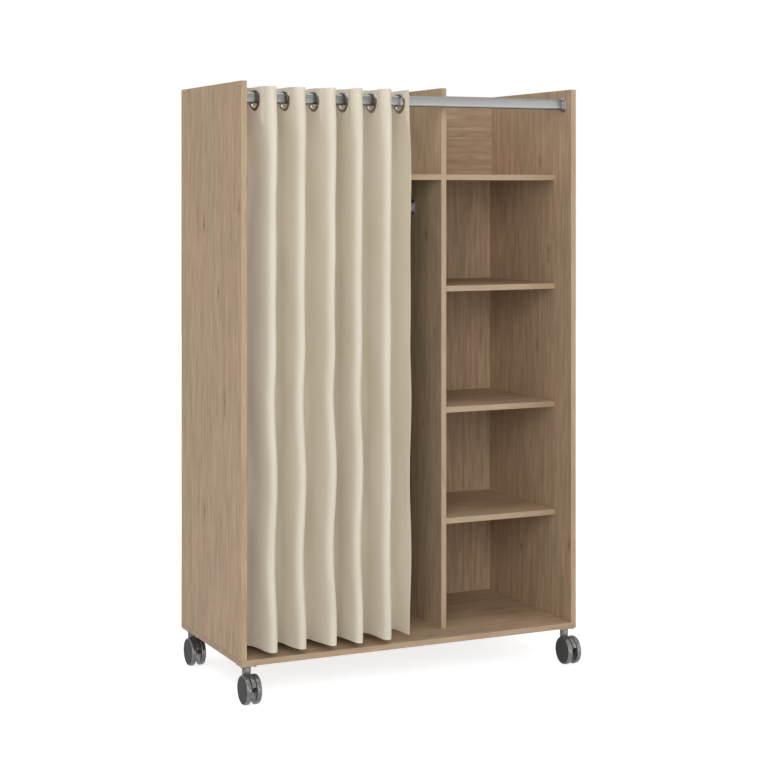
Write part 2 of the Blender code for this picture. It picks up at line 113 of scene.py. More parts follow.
# How far each fold's nose leans and sways, in metres: the last entry is the free edge
NOSE_LEAN = (0.0041, 0.0008, 0.0035, -0.0032, -0.0021, 0.0049)
NOSE_SWAY = (0.0036, 0.0039, 0.0048, 0.0036, 0.0012, -0.0030)
# The lower curtain sways in long waves, and the upper one ripples a little, each fold out of step
LOWER_CURTAIN_TOP = 1.02
LOWER_CURTAIN_START = 0.22
WAVE_LENGTH, WAVE_CREST = 0.43, 0.604
RIPPLE_LENGTH, RIPPLE_CREST, RIPPLE_SHARE = 0.30, 0.935, 0.2
# A bulge under the header, and the header's pull back to the rail
BULGE, BULGE_Z, BULGE_HEIGHT = 0.0026, 1.44, 0.13
HEADER_PULL, HEADER_Z, HEADER_HEIGHT = 0.0016, 1.57, 0.06
# The turns behind the rail sway less, and only below the header
BACK_WAVE, BACK_WAVE_LENGTH, BACK_WAVE_CREST = 0.0022, 0.52, 0.5
BACK_RIPPLE, BACK_RIPPLE_LENGTH = 0.0008, 0.33
BACK_SWAY_TOP, BACK_SWAY_START = 1.56, 0.10
# The left edge stands off the side panel by as much at two heights, and closes up between them
EDGE_SWAY = 0.0055
EDGE_GAPS = (1.41, 0.61)
EDGE_GAP_HEIGHT = 0.09
# The cloth stays flat round the eyelets, and is slightly creased below them. Creases are given as
# (waves per metre across, waves per metre up, place in the noise, size).
FLAT_Z, FLAT_HEIGHT, FLAT_RIM = 1.545, 0.035, 0.016
CREASE_TOP, CREASE_START = 1.58, 0.2
CREASES = ((7, 4.0, 3.1, 0.00084), (18, 7, 7.7, 0.00036))
# The foot and the top edge rise and fall a little along the cloth
HEM_WAVE, HEM_WAVE_LENGTH = 0.0008, 0.117

# The cloth's mesh: finer rows in the header, and points this near to a hole lie on its edge
TURN_STEPS = 80
COLUMN_WIDTH = 0.0028
HEADER_DEPTH = 0.078
HEADER_ROWS = 26
BODY_ROWS = 150
HOLE_EDGE = 0.0036

# Castors
AXLE_Z = 0.03978
STEM_TOP_Z = 0.0989
PLATE_BOTTOM_Z = 0.0992
STEM_PLACES = {"front_left": (-0.4955, -0.204), "front_right": (0.4955, -0.204),
               "rear_left": (-0.4955, 0.242), "rear_right": (0.4955, 0.242)}
WHEEL_OFFSET = 0.025
WHEEL_WIDTH = 0.0145
WHEEL_CLEARANCE = 0.002
WHEEL_ROOM = 0.03
HOOD_WIDTH = 0.012
HOOD_FRONT_RISE = math.radians(20)
WEB_WIDTH = 0.0118
HUB_RADIUS = 0.0085
HUB_LENGTH = 0.013
STEM_RADIUS = 0.012
COLLAR_RADIUS = 0.0112
SPIGOT_RADIUS = 0.004
SPIGOT_LENGTH = 0.0028
AXLE_RADIUS = 0.004
AXLE_RECESS = 0.0034
WEB_ROUND = 0.0010
PLATE_SCREW_OFFSET = 0.018
PLATE_SCREW = (0.0042, 0.0030)

# Nails in the thin back: their heads, and their rows over the middles of the boards
NAIL_RADIUS = 0.0019
NAIL_PROUD = 0.0001
NAIL_COLUMNS = (-0.512, 0.512, 0.131, 0.141)
NAIL_ROWS = (0.110, 1.411)
NAIL_HEIGHTS = [0.18 + 0.13 * step for step in range(10)]
NAIL_WIDTHS = (-0.45, -0.32, -0.19, -0.06, 0.05, 0.22, 0.33, 0.44)

# Light: the floor's and the surround's own glow, and lamps as (place, target, size, watts)
WHITE = (1, 1, 1, 1)
FLOOR_SIZE = 12
FLOOR_GREY = (0.7, 0.7, 0.7, 1)
FLOOR_GLOW = 0.76
FLOOR_GLOW_RADII = (1.1, 2.4)
AMBIENT = 0.33
LAMPS = {"key_lamp": ((-2.4, -5.0, 2.6), (0, 0, 0.9), (3.0, 3.0), 138),
         "low_lamp": ((-1.6, -5.2, 1.1), (0, 0, 0.8), (3.0, 3.0), 20),
         "right_lamp": ((4.2, -3.4, 2.6), (0, 0, 0.9), (3.0, 3.0), 50),
         "left_lamp": ((-3.4, -0.8, 4.4), (0, 0, 1.2), (3.0, 3.0), 25),
         "top_lamp": ((0.3, -0.6, 5.2), (0, 0, 1.0), (3.0, 3.0), 56),
         "gleam_strip": ((2.5, -5.3, 0.5), (0, 0, 0.1), (3.4, 0.9), 44)}

# Turns local Z to +X, and local Y to +Z
ALONG_X = Matrix(((0, 0, 1, 0), (1, 0, 0, 0), (0, 1, 0, 0), (0, 0, 0, 1)))


def tone(red, green, blue):
    """A display colour, 0 to 255 a channel, as linear light."""
    channels = []
    for value in (red, green, blue):
        share = value / 255
        channels.append(share / 12.92 if share <= 0.04045 else ((share + 0.055) / 1.055) ** 2.4)
    return (*channels, 1)


class Look:
    """A procedural material, put together one node at a time."""

    def __init__(self, name, **constants):
        self.material = bpy.data.materials.new(name)
        self.material.use_nodes = True
        self.tree = self.material.node_tree
        self.shader = self.tree.nodes["Principled BSDF"]
        for socket, value in constants.items():
            self.shader.inputs[socket.replace("_", " ")].default_value = value
        self.place = self.add("ShaderNodeTexCoord").outputs["Object"]

    def add(self, kind, inputs=(), **settings):
        """A node with its settings, and its inputs linked or filled in order of position or name."""
        node = self.tree.nodes.new(kind)
        for key, value in settings.items():
            setattr(node, key, value)
        for socket, value in dict(inputs).items():
            if isinstance(value, bpy.types.NodeSocket):
                self.tree.links.new(value, node.inputs[socket])
            else:
                node.inputs[socket].default_value = value
        return node

    def sum(self, operation, first, second=0.0):
        """One step of arithmetic."""
        return self.add("ShaderNodeMath", {0: first, 1: second}, operation=operation).outputs[0]

    def vector(self, operation, first, second=(0, 0, 0), output="Vector"):
        """One step of vector arithmetic."""
        node = self.add("ShaderNodeVectorMath", {0: first, 1: second}, operation=operation)
        return node.outputs[output]

    def spread(self, value, low, high, to_low=0.0, to_high=1.0):
        """A value moved softly from one range to another, held at its ends."""
        node = self.add("ShaderNodeMapRange", {"Value": value, "From Min": low, "From Max": high,
                                               "To Min": to_low, "To Max": to_high},
                        interpolation_type="SMOOTHSTEP")
        return node.outputs["Result"]

    def noise(self, vector, scale, detail=2.0, roughness=0.5):
        """Noise from 0 to 1; scale holds one frequency per axis."""
        stretched = self.vector("MULTIPLY", vector, scale)
        node = self.add("ShaderNodeTexNoise", {"Vector": stretched, "Scale": 1.0, "Detail": detail,
                                               "Roughness": roughness})
        return node.outputs["Fac"]

    def mix(self, factor, first, second):
        """Two colours mixed."""
        return self.add("ShaderNodeMix", {0: factor, 6: first, 7: second}, data_type="RGBA").outputs[2]

    def shade(self, colour, amount):
        """A colour made lighter or darker by a factor that varies."""
        return self.vector("MULTIPLY", colour, self.add(
            "ShaderNodeCombineXYZ", {0: amount, 1: amount, 2: amount}).outputs[0])

    def set(self, socket, value):
        """Link a value to the shader."""
        self.tree.links.new(value, self.shader.inputs[socket])

    def bump(self, height, distance):
        """Relief from a height, in metres at full height."""
        node = self.add("ShaderNodeBump", {"Height": height, "Distance": distance, "Strength": 1.0})
        self.set("Normal", node.outputs["Normal"])


# Oak decor. The grain runs along one axis; knots and plank joints are set by place.
OAK_WARM = tone(184, 155, 128)
OAK_GREEN = tone(176, 155, 126)
OAK_EDGE = tone(178, 154, 127)
OAK_EDGE_PATCH = tone(168, 140, 112)
OAK_EDGE_PALE = tone(190, 166, 134)
KNOT_BROWN = tone(80, 48, 14)
# Noise frequencies per metre along the grain, across it and into the board
MEANDER_SCALE = (4, 14, 9)
BAND_SCALE = (2.0, 20, 20)
FIGURE_SCALE = (6, 58, 40)
RING_SCALE = (0.9, 16, 9)
STREAK_SCALE = (11, 290, 120)
DASH_SCALE = (26, 1050, 300)
# The same for a front edge, along it and across it
EDGE_PATCH_SCALE = (5, 40)
EDGE_FIGURE_SCALE = (17, 210)
LIPPING_THICKNESS = 0.0003
# How far the grain wanders sideways, and how far apart in the noise the boards lie
MEANDER = 0.012
SEED_STEP = (1.37, 0.53, 0.11)
# Noise levels between which a dark dash begins, and half widths of a joint's dark and fading part
DASHES = (0.6, 0.72)
JOINT_GAP = (0.0004, 0.0016)
OAK_RELIEF = 0.00012
# A knot's length to its width, its depth into the board, and how strongly the grain bends round it
KNOT_STRETCH = 2.6
KNOT_DEPTH = 0.006
KNOT_PULL = 0.7
# In a knot's own radii: how far it bends the grain, and where its core and its faint ring fade out
KNOT_REACH = 5.0
KNOT_CORE = (0.15, 1.15)
KNOT_RING = (1.0, 3.4)


def oak_look(name, grain, side, seed, front, knots, joints, light_and_shade_tint):
    """Oak decor with its grain along one axis and its visible width along another."""
    look = Look(name, Specular_IOR_Level=0.35)
    axes = (grain, side, 3 - grain - side)
    parts = look.add("ShaderNodeSeparateXYZ", {0: look.place}).outputs
    steered, knot_shade = steer_round_knots(look, parts[side], axes, knots)
    meander = look.noise(look.place, [MEANDER_SCALE[axes.index(axis)] for axis in range(3)], 2.0)
    steered = look.sum("ADD", steered, look.sum("MULTIPLY", look.sum("SUBTRACT", meander, 0.5), MEANDER))
    grained = look.add("ShaderNodeCombineXYZ", {0: parts[grain], 1: steered, 2: parts[axes[2]]}).outputs[0]
    grained = look.vector("ADD", grained, [seed * step for step in SEED_STEP])
    bands = look.noise(grained, BAND_SCALE, 2.0)
    colour = look.mix(look.spread(bands, 0.36, 0.74), OAK_WARM, OAK_GREEN)
    figure = look.noise(grained, FIGURE_SCALE, 3.0, 0.6)
    rings = look.add("ShaderNodeTexWave", {
        "Vector": look.vector("MULTIPLY", grained, RING_SCALE), "Scale": 1.0, "Distortion": 7.0,
        "Detail": 2.0, "Detail Scale": 1.3, "Detail Roughness": 0.55}, bands_direction="Y").outputs["Fac"]
    streaks = look.noise(grained, STREAK_SCALE, 3.0, 0.6)
    dashes = look.noise(grained, DASH_SCALE, 1.0)
    amount = look.sum("MULTIPLY", look.spread(figure, 0.3, 0.7, 0.86, 1.10),
                      look.spread(rings, 0.0, 1.0, 0.95, 1.03))
    amount = look.sum("MULTIPLY", amount, look.spread(streaks, 0.3, 0.7, 0.86, 1.10))
    amount = look.sum("MULTIPLY", amount, look.spread(dashes, *DASHES, 1.0, 0.9))
    for place, darker in joints:
        gap = look.sum("ABSOLUTE", look.sum("SUBTRACT", parts[side], place))
        amount = look.sum("MULTIPLY", amount, look.spread(gap, *JOINT_GAP, darker, 1.0))
    # The board's tint multiplies its decor: painted light and shade
    colour = look.vector("MULTIPLY", look.shade(colour, amount), light_and_shade_tint)
    if knots:
        speckled = look.sum("MULTIPLY", knot_shade, look.spread(streaks, 0.25, 0.6, 0.75, 1.0))
        colour = look.mix(speckled, colour, KNOT_BROWN)
    if front is not None:
        on_front = look.sum("LESS_THAN", parts[1], front + LIPPING_THICKNESS)
        colour = look.mix(on_front, colour, lipping(look, grain))
    look.set("Base Color", colour)
    look.set("Roughness", look.spread(streaks, 0.2, 0.8, 0.62, 0.5))
    pores = look.spread(dashes, *DASHES, 0.0, 0.5)
    look.bump(look.sum("SUBTRACT", look.sum("MULTIPLY", streaks, 0.5), pores), OAK_RELIEF)
    return look.material


def steer_round_knots(look, across, axes, knots):
    """The place across the grain, bent round each knot, and how deep in a knot's brown a place lies."""
    steered, knot_shade = across, None
    for *place, size, strength in knots:
        centre, radii = [0.0] * 3, [1.0] * 3
        for axis, value, radius in zip(axes, place, (KNOT_STRETCH * size, size, KNOT_DEPTH)):
            centre[axis], radii[axis] = value, 1 / radius
        from_knot = look.vector("MULTIPLY", look.vector("SUBTRACT", look.place, centre), radii)
        distance = look.vector("LENGTH", from_knot, output="Value")
        halo = look.spread(distance, 0.0, KNOT_REACH, 1.0, 0.0)
        aside = look.sum("MULTIPLY", look.sum("SUBTRACT", across, place[1]), halo)
        steered = look.sum("SUBTRACT", steered, look.sum("MULTIPLY", aside, KNOT_PULL))
        core = look.spread(distance, *KNOT_CORE, strength, 0.0)
        ring = look.spread(distance, *KNOT_RING, 0.3 * strength, 0.0)
        here = look.sum("MAXIMUM", core, ring)
        knot_shade = here if knot_shade is None else look.sum("MAXIMUM", knot_shade, here)
    return steered, knot_shade


def lipping(look, grain):
    """Colour of a board's front edge, patchy and wavy along the board."""
    patches, figure = (look.noise(look.place, [scale[axis != grain] for axis in range(3)], 3.0, 0.6)
                       for scale in (EDGE_PATCH_SCALE, EDGE_FIGURE_SCALE))
    colour = look.mix(look.spread(patches, 0.46, 0.68), OAK_EDGE, OAK_EDGE_PATCH)
    return look.mix(look.spread(figure, 0.5, 0.7, 0.0, 0.8), colour, OAK_EDGE_PALE)


# Grain axis, width axis, seed, lipped front, knots as (along, across, depth, size, strength),
# joints as (across, tone)
X, Y, Z = 0, 1, 2
LEFT_KNOTS = ((1.3296, -0.2113, -0.52, 0.0042, 0.85), (1.2785, 0.0683, -0.52, 0.0050, 0.9),
              (1.0969, -0.0517, -0.52, 0.0045, 0.95), (0.8200, -0.0990, -0.52, 0.0030, 0.9),
              (0.7979, -0.1007, -0.52, 0.0036, 1.0), (0.7700, -0.1015, -0.52, 0.0026, 0.8),
              (0.5963, 0.1108, -0.52, 0.0030, 0.6), (0.5424, -0.0232, -0.52, 0.0030, 0.6),
              (0.4730, 0.0632, -0.52, 0.0044, 0.75), (0.66, -0.13, -0.504, 0.0030, 0.8))
RIGHT_KNOTS = ((1.4645, -0.0502, 0.504, 0.0040, 0.95), (1.2005, -0.1011, 0.504, 0.0032, 0.95),
               (1.1720, -0.1005, 0.504, 0.0028, 0.9), (0.9139, -0.0322, 0.504, 0.0034, 0.8),
               (0.5274, -0.0621, 0.504, 0.0040, 0.25), (0.2910, 0.0632, 0.504, 0.0036, 0.95),
               (0.3421, -0.2187, 0.504, 0.0040, 0.9), (1.16, 0.04, 0.52, 0.0036, 0.9),
               (0.55, -0.11, 0.52, 0.0030, 0.8))
DIVIDER_KNOTS = ((1.2506, -0.0368, 0.128, 0.0040, 1.0), (0.9678, -0.0915, 0.128, 0.0032, 0.8),
                 (0.6956, -0.0171, 0.128, 0.0030, 0.6), (1.0, 0.1, 0.144, 0.0026, 0.8))
BASE_KNOTS = ((0.0601, -0.1983, 0.118, 0.0036, 0.8), (0.40, -0.05, 0.118, 0.0030, 0.6))
BACK_RAIL_KNOTS = ((0.42, 1.60, 0.2497, 0.0045, 0.25), (0.43, 1.478, 0.2497, 0.0050, 0.3))
BACK_KNOTS = ((0.9, -0.3, 0.269, 0.0040, 0.9), (0.5, -0.05, 0.269, 0.0034, 0.8))
BOARDS = {
    "side_panel_left": (Z, Y, 1, FRONT_Y, LEFT_KNOTS, ()),
    "side_panel_right": (Z, Y, 2, FRONT_Y, RIGHT_KNOTS, ()),
    "divider_panel": (Z, Y, 3, SHELF_FRONT_Y, DIVIDER_KNOTS, ()),
    "base_panel": (X, Y, 4, FRONT_Y, BASE_KNOTS, ()),
    "shelf_lower": (X, Y, 5, SHELF_FRONT_Y, ((0.30, 0.02, 0.434, 0.0026, 0.5),), ()),
    "shelf_middle": (X, Y, 6, SHELF_FRONT_Y, ((0.22, -0.04, 0.754, 0.0022, 0.5),), ()),
    "shelf_upper": (X, Y, 7, SHELF_FRONT_Y, ((0.35, 0.0, 1.087, 0.0024, 0.5),), ()),
    "top_shelf_right": (X, Y, 8, SHELF_FRONT_Y, ((0.25, 0.05, 1.424, 0.0030, 0.7),), ()),
    "hat_shelf_left": (X, Y, 9, SHELF_FRONT_Y, ((-0.2, 0.02, 1.424, 0.0034, 0.8),), ()),
    "back_rail_right": (X, Z, 10, None, BACK_RAIL_KNOTS, ((1.5475, 0.72),)),
    "back_rail_left": (X, Z, 11, None, ((-0.15, 1.50, 0.2657, 0.0040, 0.8),), ((1.5475, 0.72),)),
    "back_panel_left": (Z, X, 12, None, BACK_KNOTS, ((-0.38, 0.8), (-0.12, 0.8))),
    "back_panel_right": (Z, X, 13, None, ((0.95, 0.24, 0.266, 0.0030, 0.7),),
                         ((0.4094, 0.78), (0.22, 0.9))),
}
# Painted light and shade: boards whose decor is made a little lighter, darker or greener than the rest,
# standing in for the light and shade that falls on them
LIGHT_AND_SHADE_TINTS = {"side_panel_left": (1.12, 1.09, 1.03), "divider_panel": (1.08, 1.16, 1.16),
         "back_rail_left": (0.93, 0.95, 0.95), "back_rail_right": (0.93, 0.95, 0.95),
         "shelf_upper": (0.88, 0.84, 0.80), "shelf_middle": (1.03, 1.02, 1.03),
         "shelf_lower": (1.06, 1.05, 1.06)}


def dress_boards():
    """Give every board of the carcass its own piece of oak decor."""
    for name, (grain, side, seed, front, knots, joints) in BOARDS.items():
        light_and_shade_tint = LIGHT_AND_SHADE_TINTS.get(name, (1, 1, 1))
        dress(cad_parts[name].data,
              oak_look("oak_" + name, grain, side, seed, front, knots, joints, light_and_shade_tint))


# Cream cloth: threads and noise per metre, seams as heights above the cloth's foot
CREAM = (tone(222, 213, 194), tone(226, 217, 200))
THREADS = 1250
SLUB_SCALE = (900, 18)
CLOUD_SCALE = (9, 4, 1)
TOP_SEAM, FOOT_SEAM = 1.448, 0.045
# A seam's half widths, at full depth and fading out, and its stitches
SEAM_GAP = (0.0003, 0.0011)
STITCH_PITCH = 0.0034
CLOTH_RELIEF = 0.00018

# Metals and castor mouldings: noise frequencies per metre, and how dark a metal's streaks are
POLISH_SCALE = (300, 300, 300)
BRUSH_SCALE = (6, 900, 900)
STREAK_SHADE = 0.93
METAL_RELIEF = 0.00002
GRAIN_SCALE = (1400, 1400, 1400)
GLOSS_SCALE = (60, 60, 60)
MOULDING_RELIEF = 0.00003


def fabric_look():
    """Cream plain-weave cloth, laid out in metres by the cloth's UV map."""
    look = Look("cream_cloth", Roughness=0.88, Specular_IOR_Level=0.2, Sheen_Weight=0.04,
                Sheen_Roughness=0.5)
    flat = look.add("ShaderNodeUVMap", uv_map="cloth").outputs[0]
    parts = look.add("ShaderNodeSeparateXYZ", {0: flat}).outputs
    threads = []
    for first, second in ((parts[0], parts[1]), (parts[1], parts[0])):
        over = look.sum("SINE", look.sum("MULTIPLY", first, FULL * THREADS))
        under = look.sum("SINE", look.sum("MULTIPLY", second, FULL * THREADS / 2))
        threads.append(look.sum("MULTIPLY", over, under))
    weave = look.sum("MAXIMUM", *threads)
    warp = look.noise(flat, (*SLUB_SCALE, 1), 2.0, 0.6)
    weft = look.noise(flat, (*reversed(SLUB_SCALE), 1), 2.0, 0.6)
    slubs = look.sum("MULTIPLY", look.sum("ADD", warp, weft), 0.5)
    clouds = look.noise(flat, CLOUD_SCALE, 2.0, 0.5)
    colour = look.mix(look.spread(clouds, 0.35, 0.65), *CREAM)
    amount = look.sum("MULTIPLY", look.spread(slubs, 0.35, 0.65, 0.975, 1.015),
                      look.spread(weave, 0.0, 1.0, 0.985, 1.01))
    look.set("Base Color", look.shade(colour, amount))
    from_seam = look.sum("MINIMUM", *(look.sum("ABSOLUTE", look.sum("SUBTRACT", parts[1], level))
                                      for level in (TOP_SEAM, FOOT_SEAM)))
    stitch = look.spread(look.sum("SINE", look.sum("MULTIPLY", parts[0], FULL / STITCH_PITCH)), -0.6, 0.2)
    seam = look.sum("MULTIPLY", look.spread(from_seam, *SEAM_GAP, 1.0, 0.0), stitch)
    relief = look.sum("ADD", look.sum("MULTIPLY", weave, 0.25), look.sum("MULTIPLY", slubs, 0.6))
    relief = look.sum("SUBTRACT", relief, look.sum("MULTIPLY", seam, 1.2))
    look.bump(relief, CLOTH_RELIEF)
    return look.material


def metal_look(name, colour, roughness, uneven, scale=POLISH_SCALE):
    """Bare or plated metal, with fine streaks or a slightly uneven polish."""
    look = Look(name, Metallic=1.0)
    streaks = look.noise(look.place, scale, 3.0, 0.6)
    darker = (*(STREAK_SHADE * part for part in colour[:3]), 1)
    look.set("Base Color", look.mix(look.spread(streaks, 0.3, 0.7), colour, darker))
    look.set("Roughness", look.spread(streaks, 0.2, 0.8, roughness - uneven, roughness + uneven))
    look.bump(streaks, METAL_RELIEF)
    return look.material


def castor_look(name, dark, light, roughness, **constants):
    """Grey castor moulding with a faint grain and cloudy gloss."""
    look = Look(name, **constants)
    grain = look.noise(look.place, GRAIN_SCALE, 2.0, 0.5)
    clouds = look.noise(look.place, GLOSS_SCALE, 3.0, 0.6)
    look.set("Base Color", look.mix(look.spread(clouds, 0.3, 0.7), dark, light))
    look.set("Roughness", look.spread(clouds, 0.25, 0.75, roughness, roughness + 0.1))
    look.bump(grain, MOULDING_RELIEF)
    return look.material


def dress(mesh, *looks):
    """Give a mesh its looks. Clearing an empty list would reset the faces' numbers, so it isn't done."""
    if mesh.materials:
        mesh.materials.clear()
    for look in looks:
        mesh.materials.append(look)


def mesh_of(name, shape):
    """A mesh from a mesh in work, which goes."""
    mesh = bpy.data.meshes.new(name)
    shape.to_mesh(mesh)
    shape.free()
    return mesh


def placed(name, data):
    """A mesh, lamp or camera put into the scene."""
    thing = bpy.data.objects.new(name, data)
    bpy.context.scene.collection.objects.link(thing)
    return thing


def finish(name, shape, look, body, sharp=35, replaced=()):
    """Make a piece of a mesh in work, let it ride on a body and stand for CAD nodes."""
    finish_mesh(name, mesh_of(name, shape), (look,), body, sharp, replaced)


def finish_mesh(name, mesh, looks, body, sharp=35, replaced=()):
    """Make a piece of a mesh, let it ride on a body and stand for CAD nodes."""
    dress(mesh, *looks)
    mesh.shade_smooth()
    mesh.set_sharp_from_angle(angle=math.radians(sharp))
    piece = placed(name, mesh)
    if body is not None:
        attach(piece, body)
    if replaced:
        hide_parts(*replaced)
    return piece


def baked(piece):
    """A copy of a piece's mesh with its modifiers applied; the piece itself goes."""
    graph = bpy.context.evaluated_depsgraph_get()
    mesh = bpy.data.meshes.new_from_object(piece.evaluated_get(graph))
    bpy.data.objects.remove(piece, do_unlink=True)
    return mesh


def bevel(shape, edges, width, segments=3):
    """Round some edges."""
    bmesh.ops.bevel(shape, geom=edges, offset=width, offset_type="OFFSET", affect="EDGES",
                    segments=segments, profile=0.5, material=-1, clamp_overlap=True)


def sharp_edges(shape, angle=40):
    """Edges whose faces meet at more than an angle."""
    return [edge for edge in shape.edges
            if len(edge.link_faces) == 2 and edge.calc_face_angle(0) > math.radians(angle)]


def oval_ring(shape, height, width, segments=64):
    """A ring of edges round a flat-sided oval, its long way along local Y."""
    made = bmesh.ops.create_circle(shape, cap_ends=False, segments=segments, radius=width / 2,
                                   matrix=Matrix.Rotation(HALF / segments, 4, "Z"))
    for vert in made["verts"]:
        vert.co.y += math.copysign((height - width) / 2, vert.co.y)
    return [edge for edge in shape.edges if all(vert in made["verts"] for vert in edge.verts)]


def move(shape, matrix):
    """A mesh in work, moved as a whole."""
    bmesh.ops.transform(shape, matrix=matrix, verts=shape.verts)
    return shape


def pull(shape, faces, offset):
    """Extrude faces by an offset, and close the solid."""
    made = bmesh.ops.extrude_face_region(shape, geom=faces, use_keep_orig=True)
    moved = [item for item in made["geom"] if isinstance(item, bmesh.types.BMVert)]
    bmesh.ops.translate(shape, vec=offset, verts=moved)
    bmesh.ops.recalc_face_normals(shape, faces=shape.faces)


def oval_tube(height, width, wall, length):
    """A length of oval tube along local Z."""
    shape = bmesh.new()
    outer = oval_ring(shape, height, width)
    inner = oval_ring(shape, height - 2 * wall, width - 2 * wall)
    ring = bmesh.ops.bridge_loops(shape, edges=outer + inner)
    pull(shape, ring["faces"], (0, 0, length))
    return shape


def spun(profile, steps, closed=True):
    """A shape turned about local Z from (radius, height) points in order."""
    shape = bmesh.new()
    verts = [shape.verts.new((radius, 0, height)) for radius, height in profile]
    edges = [shape.edges.new(pair) for pair in zip(verts, verts[1:])]
    if closed:
        edges.append(shape.edges.new((verts[-1], verts[0])))
    bmesh.ops.spin(shape, geom=verts + edges, cent=(0, 0, 0), axis=(0, 0, 1), dvec=(0, 0, 0),
                   angle=FULL, steps=steps, use_merge=True)
    bmesh.ops.remove_doubles(shape, verts=shape.verts, dist=0.000005)
    bmesh.ops.recalc_face_normals(shape, faces=shape.faces)
    return shape


def add_rails(aluminium, casting, steel):
    """Oval rails with U-shaped end sockets, each on a flange with two screws."""
    for name, rail in (("curtain_rail", CURTAIN_RAIL), ("clothes_rail", CLOTHES_RAIL)):
        end = FLANGE_THICKNESS + RAIL_END_GAP
        tube = oval_tube(RAIL_HEIGHT, RAIL_WIDTH, RAIL_WALL, rail["right"] - rail["left"] - 2 * end)
        place = Matrix.Translation((rail["left"] + end, rail["y"], rail["z"]))
        finish(name + "_tube", move(tube, place @ ALONG_X), aluminium, "carcass",
               replaced=[name])
        for side, x, turn in (("left", rail["left"], 0), ("right", rail["right"], HALF)):
            place = Matrix.Translation((x, rail["y"], rail["z"])) @ Matrix.Rotation(turn, 4, "Z") @ ALONG_X
            node = f"{name}_socket_{side}"
            finish(node + "_casting", move(new_socket(), place), casting, "carcass",
                   replaced=[node])
            screws = bmesh.new()
            for height in SOCKET_SCREW_HEIGHTS:
                head = Matrix.Translation((0, height, FLANGE_THICKNESS - SEAT))
                add_copy(screws, screw_head(*SOCKET_SCREW), place @ head)
            finish(node + "_screws", screws, steel, "carcass")


def new_socket():
    """A rail socket that stands on local z = 0: an oval flange and a cup that is open at the top."""
    shape = bmesh.new()
    plate = bmesh.ops.contextual_create(shape, geom=oval_ring(shape, SOCKET_HEIGHT, SOCKET_WIDTH))["faces"]
    pull(shape, plate, (0, 0, FLANGE_THICKNESS))
    rim = [edge for edge in sharp_edges(shape) if all(vert.co.z > FLANGE_ROUND for vert in edge.verts)]
    bevel(shape, rim, FLANGE_ROUND)
    cup = bmesh.new()
    inner = (RAIL_HEIGHT + CUP_CLEARANCE, RAIL_WIDTH + CUP_CLEARANCE)
    outer = tuple(size + 2 * CUP_WALL for size in inner)
    faces = bmesh.ops.bridge_loops(cup, edges=oval_ring(cup, *outer) + oval_ring(cup, *inner))["faces"]
    pull(cup, faces, (0, 0, SOCKET_DEPTH - FLANGE_THICKNESS + SEAT))
    move(cup, Matrix.Translation((0, 0, FLANGE_THICKNESS - SEAT)))
    cut = bmesh.ops.bisect_plane(cup, geom=cup.verts[:] + cup.edges[:] + cup.faces[:],
                                 plane_co=(0, SOCKET_HORN_HEIGHT, 0), plane_no=(0, 1, 0), clear_outer=True)
    open_edges = [item for item in cut["geom_cut"] if isinstance(item, bmesh.types.BMEdge)]
    bmesh.ops.holes_fill(cup, edges=open_edges)
    bmesh.ops.recalc_face_normals(cup, faces=cup.faces)
    mouth = [edge for edge in sharp_edges(cup, 60)
             if all(vert.co.z > FLANGE_THICKNESS + CUP_ROUND for vert in edge.verts)]
    bevel(cup, mouth, CUP_ROUND, 2)
    add_copy(shape, cup, Matrix.Identity(4))
    return shape


def add_copy(shape, part, matrix):
    """Add a transformed copy of a part to a mesh in work, and drop the part."""
    mesh = mesh_of("part", move(part, matrix))
    shape.from_mesh(mesh)
    bpy.data.meshes.remove(mesh)


def screw_head(radius, height):
    """A pan head with a cross recess, standing on local z = 0."""
    profile = [(0, height), (0.45 * radius, 0.97 * height), (0.75 * radius, 0.8 * height),
               (0.93 * radius, 0.5 * height), (radius, 0.12 * height), (0.97 * radius, -SEAT), (0, -SEAT)]
    shape = spun(profile, 20, closed=False)
    for angle in (0, QUARTER):
        slot = bmesh.new()
        bmesh.ops.create_cube(slot, size=1)
        bmesh.ops.scale(slot, vec=(1.1 * radius, 0.22 * radius, 0.5 * height), verts=slot.verts)
        bmesh.ops.translate(slot, vec=(0, 0, 0.79 * height), verts=slot.verts)
        bmesh.ops.rotate(slot, matrix=Matrix.Rotation(angle + math.radians(20), 3, "Z"), verts=slot.verts)
        shape = carved(shape, slot, "DIFFERENCE")
    return shape


def carved(shape, tool, operation):
    """One mesh in work cut by, or joined to, another."""
    piece, cutter = (placed("work", mesh_of("work", source)) for source in (shape, tool))
    modifier = piece.modifiers.new("Carve", "BOOLEAN")
    modifier.operation = operation
    modifier.solver = "EXACT"
    modifier.object = cutter
    mesh = baked(piece)
    bpy.data.objects.remove(cutter, do_unlink=True)
    result = bmesh.new()
    result.from_mesh(mesh)
    bpy.data.meshes.remove(mesh)
    return result


# The cloth's cross-section: flank yaw and pitches are those of the frame's folds
TURN_GAP = FOLD_FRONT_DEPTH + FOLD_BACK_DEPTH - 2 * TURN_RADIUS
FLANK_YAW = (math.atan2(EYELET_PITCH, TURN_GAP)
             - math.asin(2 * TURN_RADIUS / math.hypot(EYELET_PITCH, TURN_GAP)))
FRONT_FLANK = (FOLD_FRONT_DEPTH - TURN_RADIUS * (1 - math.sin(FLANK_YAW))) / math.cos(FLANK_YAW)
FRONT_PITCH = 2 * (FRONT_FLANK * math.sin(FLANK_YAW) + TURN_RADIUS * math.cos(FLANK_YAW))
BACK_PITCH = 2 * EYELET_PITCH - FRONT_PITCH
EYELET_XS = [FIRST_EYELET_X + EYELET_PITCH * 2 * (number // 2) + FRONT_PITCH * (number % 2)
             for number in range(EYELET_COUNT)]


